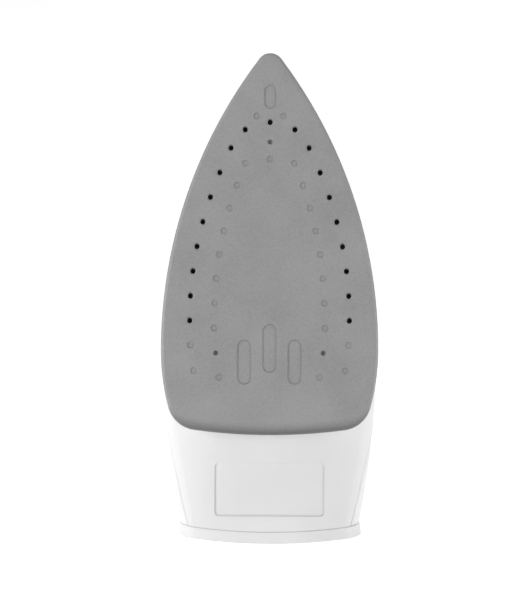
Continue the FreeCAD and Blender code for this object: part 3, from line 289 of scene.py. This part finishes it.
def make_finishes():
    """The finish of each slot in the record."""
    return {
        "sole_coating": sole_enamel(),
        "rivet_grey": moulded_abs("enamelled_rivet", "#7c7c7d", "#8d8d8d", 0.45, 0.8, 0.1, 0.15),
        "cast_aluminium": metal("sand_cast_aluminium", "#a9a9a6", "#c0c0bd", 0.5, 0.8, 0.5),
        "element_steel": metal("heat_tinted_sheath", "#6f675c", "#8d8275", 0.42, 0.5),
        "sheet_steel": metal("zinc_plated_sheet", "#b5b7ba", "#cacbcc", 0.32, 0.6, 0.12, (1, 1, 6)),
        "seal_rubber": soft_skin("red_silicone", "#8b2f22", "#9c3b2c", 0.6, 0.6, 0.1),
        "ceramic_white": glazed_steatite(),
        "dial_shaft": metal("turned_steel", "#a5a6a8", "#bcbdbf", 0.28, 0.3, 0.2),
        "casing_white": moulded_abs("white_abs", "#e9e9e9", "#ededed", 0.36, 2.2, 0.01),
        "heel_white": moulded_abs("white_abs_heel", "#ececec", "#f0f0f0", 0.42, 1.2, 0.02),
        "tank_clear": tinted_styrene("grey_tint_tank", "#a9b4bc", "#b6c0c7"),
        "door_clear": tinted_styrene("grey_tint_door", "#8f9aa3", "#9ba6ae", 0.12),
        "tank_weld": moulded_abs("tank_weld_bead", "#8e979e", "#9ca5ab", 0.4),
        "valve_plastic": moulded_abs("natural_acetal", "#d9d8d2", "#e3e2dc", 0.4),
        "valve_steel": metal("ground_needle_steel", "#b0b1b3", "#c4c5c6", 0.25, 0.25, 0.1),
        "spring_steel": metal("drawn_spring_wire", "#8f9092", "#a8a9aa", 0.3, 0.2, 0.1),
        "control_grey": moulded_abs("grey_abs_controls", "#6f7277", "#787b80", 0.3),
        "dial_grey": moulded_abs("pale_grey_abs_dial", "#a9acb0", "#b3b6ba", 0.3),
        "nozzle_brass": metal("turned_brass", "#b08a48", "#c9a45c", 0.25, 0.3, 0.1),
        "grip_rubber": soft_skin("soft_touch_grip", "#5b5e63", "#66696e", 0.62, 0.5),
        "lens_amber": tinted_styrene("amber_lens", "#e07a1c", "#ef9238", 0.1),
        "lamp_glass": tinted_styrene("neon_lamp_glass", "#f1d6c4", "#f8e3d4", 0.03),
        "gland_rubber": soft_skin("flexible_pvc", "#3a3b3d", "#454648", 0.5, 0.8, 0.15),
        "screw_steel": metal("zinc_plated_screws", "#b9bbbd", "#d0d1d2", 0.25, 0.4, 0.1),
        "lead_sleeve": woven_sleeve(),
    }


def dress(finishes):
    """Gives every piece of the iron the finish of its slot."""
    for part in frame["record"]["subparts"]:
        thing = nodes[part["node"]]
        thing.data.materials.clear()
        thing.data.materials.append(finishes[part["material_slot"]])


# ---------------------------------------------------------------- button springs

COIL_STEPS = 36
WIRE_SIDES = 8
WIRE_RADIUS = 0.3 * MM
SPRING_TURNS = 2.5
END_ROOM = 0.25 * MM    # how much shorter the coil is than the space between its seats


def coil_mesh(name, radius, long):
    """A round wire wound about the iron's upward axis, centred on its own middle."""
    mesh = bmesh.new()
    steps = round(SPRING_TURNS * COIL_STEPS)
    rings = []
    for step in range(steps + 1):
        turn = Matrix.Rotation(2 * math.pi * step / COIL_STEPS, 3, "Z")
        rise = Vector((0, 0, (step / steps - 0.5) * (long - 2 * WIRE_RADIUS)))
        ring = []
        for side in range(WIRE_SIDES):
            angle = 2 * math.pi * side / WIRE_SIDES
            out = Vector((radius + WIRE_RADIUS * math.cos(angle), 0, WIRE_RADIUS * math.sin(angle)))
            ring.append(mesh.verts.new(IRON @ (turn @ out + rise)))
        rings.append(ring)
    for one, two in zip(rings, rings[1:]):
        for side in range(WIRE_SIDES):
            after = (side + 1) % WIRE_SIDES
            mesh.faces.new((one[side], one[after], two[after], two[side]))
    mesh.faces.new(rings[0][::-1])
    mesh.faces.new(rings[-1])
    bmesh.ops.recalc_face_normals(mesh, faces=mesh.faces)
    for face in mesh.faces:
        face.smooth = len(face.verts) == 4
    data = bpy.data.meshes.new(name)
    mesh.to_mesh(data)
    mesh.free()
    return data


def closing_spring(node, finish):
    """A coil in place of the stiff one, set under its button. The stiff one leans, so
    its box is a pitch shorter along the coil than the coil is."""
    low, high = (Vector(corner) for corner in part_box(node))
    size = high - low
    end_to_end = (size.y - size.x * abs(UP.z)) / abs(UP.y)
    long = (end_to_end - 2 * WIRE_RADIUS / SPRING_TURNS) / (1 - 1 / SPRING_TURNS) - END_ROOM
    data = coil_mesh(node + "_wire", size.x / 2 - WIRE_RADIUS, long)
    data.materials.append(finish)
    coil = bpy.data.objects.new(node + "_wire", data)
    bpy.context.scene.collection.objects.link(coil)
    coil.location = (low + high) / 2
    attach(coil, "iron")
    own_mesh(coil)
    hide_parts(node)


# ---------------------------------------------------------------- studio

FLOOR_REACH = 2.6
FLOOR_SIDES = 96
AIM = Vector((0, 0, 0.13))
AIR_STRENGTH = 0.05
SOFT_BOXES = (
    # name, place, width and height in metres, watts
    ("overhead", (-0.3, -0.2, 1.9), (1.8, 1.4), 11.5),
    ("left", (-1.33, -0.62, 0.4), (0.6, 1.1), 13),
    ("right", (1.43, -0.58, 0.4), (0.6, 1.1), 10.9),
    ("behind", (0.4, 1.9, 1.3), (1.4, 0.8), 8),
)


def white_paper():
    """Matt white background paper: a faint cloudiness keeps it from being one dead tone, and a
    little light of its own keeps it pale right up to the edge of the view."""
    material, tree, shader, place = start("white_paper", IOR=1.4, Roughness=0.9, Emission_Strength=0.6)
    shader.inputs["Emission Color"].default_value = linear("#ffffff")
    cloud = add(tree, "ShaderNodeTexNoise", {
        "Vector": place, "Scale": per_mm(PAPER_CLOUD_MM), "Detail": 3.0})
    tone = add(tree, "ShaderNodeValToRGB", {"Fac": cloud.outputs["Fac"]},
               stops=((0.3, "#f6f6f6"), (0.7, "#fafafa")))
    tree.links.new(tone.outputs["Color"], shader.inputs["Base Color"])
    return material


def make_floor():
    """A wide round table top in white paper."""
    mesh = bmesh.new()
    bmesh.ops.create_circle(mesh, cap_ends=True, radius=FLOOR_REACH, segments=FLOOR_SIDES)
    data = bpy.data.meshes.new("paper_floor")
    mesh.to_mesh(data)
    mesh.free()
    floor = bpy.data.objects.new("paper_floor", data)
    bpy.context.scene.collection.objects.link(floor)
    data.materials.append(white_paper())


def soft_box(name, place, size, watts):
    data = bpy.data.lights.new(name, "AREA")
    data.shape = "RECTANGLE"
    data.size, data.size_y = size
    data.energy = watts
    light = bpy.data.objects.new(name, data)
    bpy.context.scene.collection.objects.link(light)
    light.location = place
    light.rotation_euler = (AIM - Vector(place)).to_track_quat("-Z", "Y").to_euler()


def make_studio():
    """Four large soft lights. The sides are brighter than the front, so that round forms show."""
    make_floor()
    for name, place, size, watts in SOFT_BOXES:
        soft_box(name, place, size, watts)
    world = bpy.data.worlds.new("studio_air")
    world.use_nodes = True
    air = world.node_tree.nodes["Background"]
    air.inputs["Color"].default_value = linear("#ffffff")
    air.inputs["Strength"].default_value = AIR_STRENGTH
    bpy.context.scene.world = world
    bpy.context.scene.view_settings.view_transform = "Standard"


make_camera()
finishes = make_finishes()
dress(finishes)
for button in ("spray", "boost"):
    closing_spring(button + "_spring", finishes["spring_steel"])
make_studio()
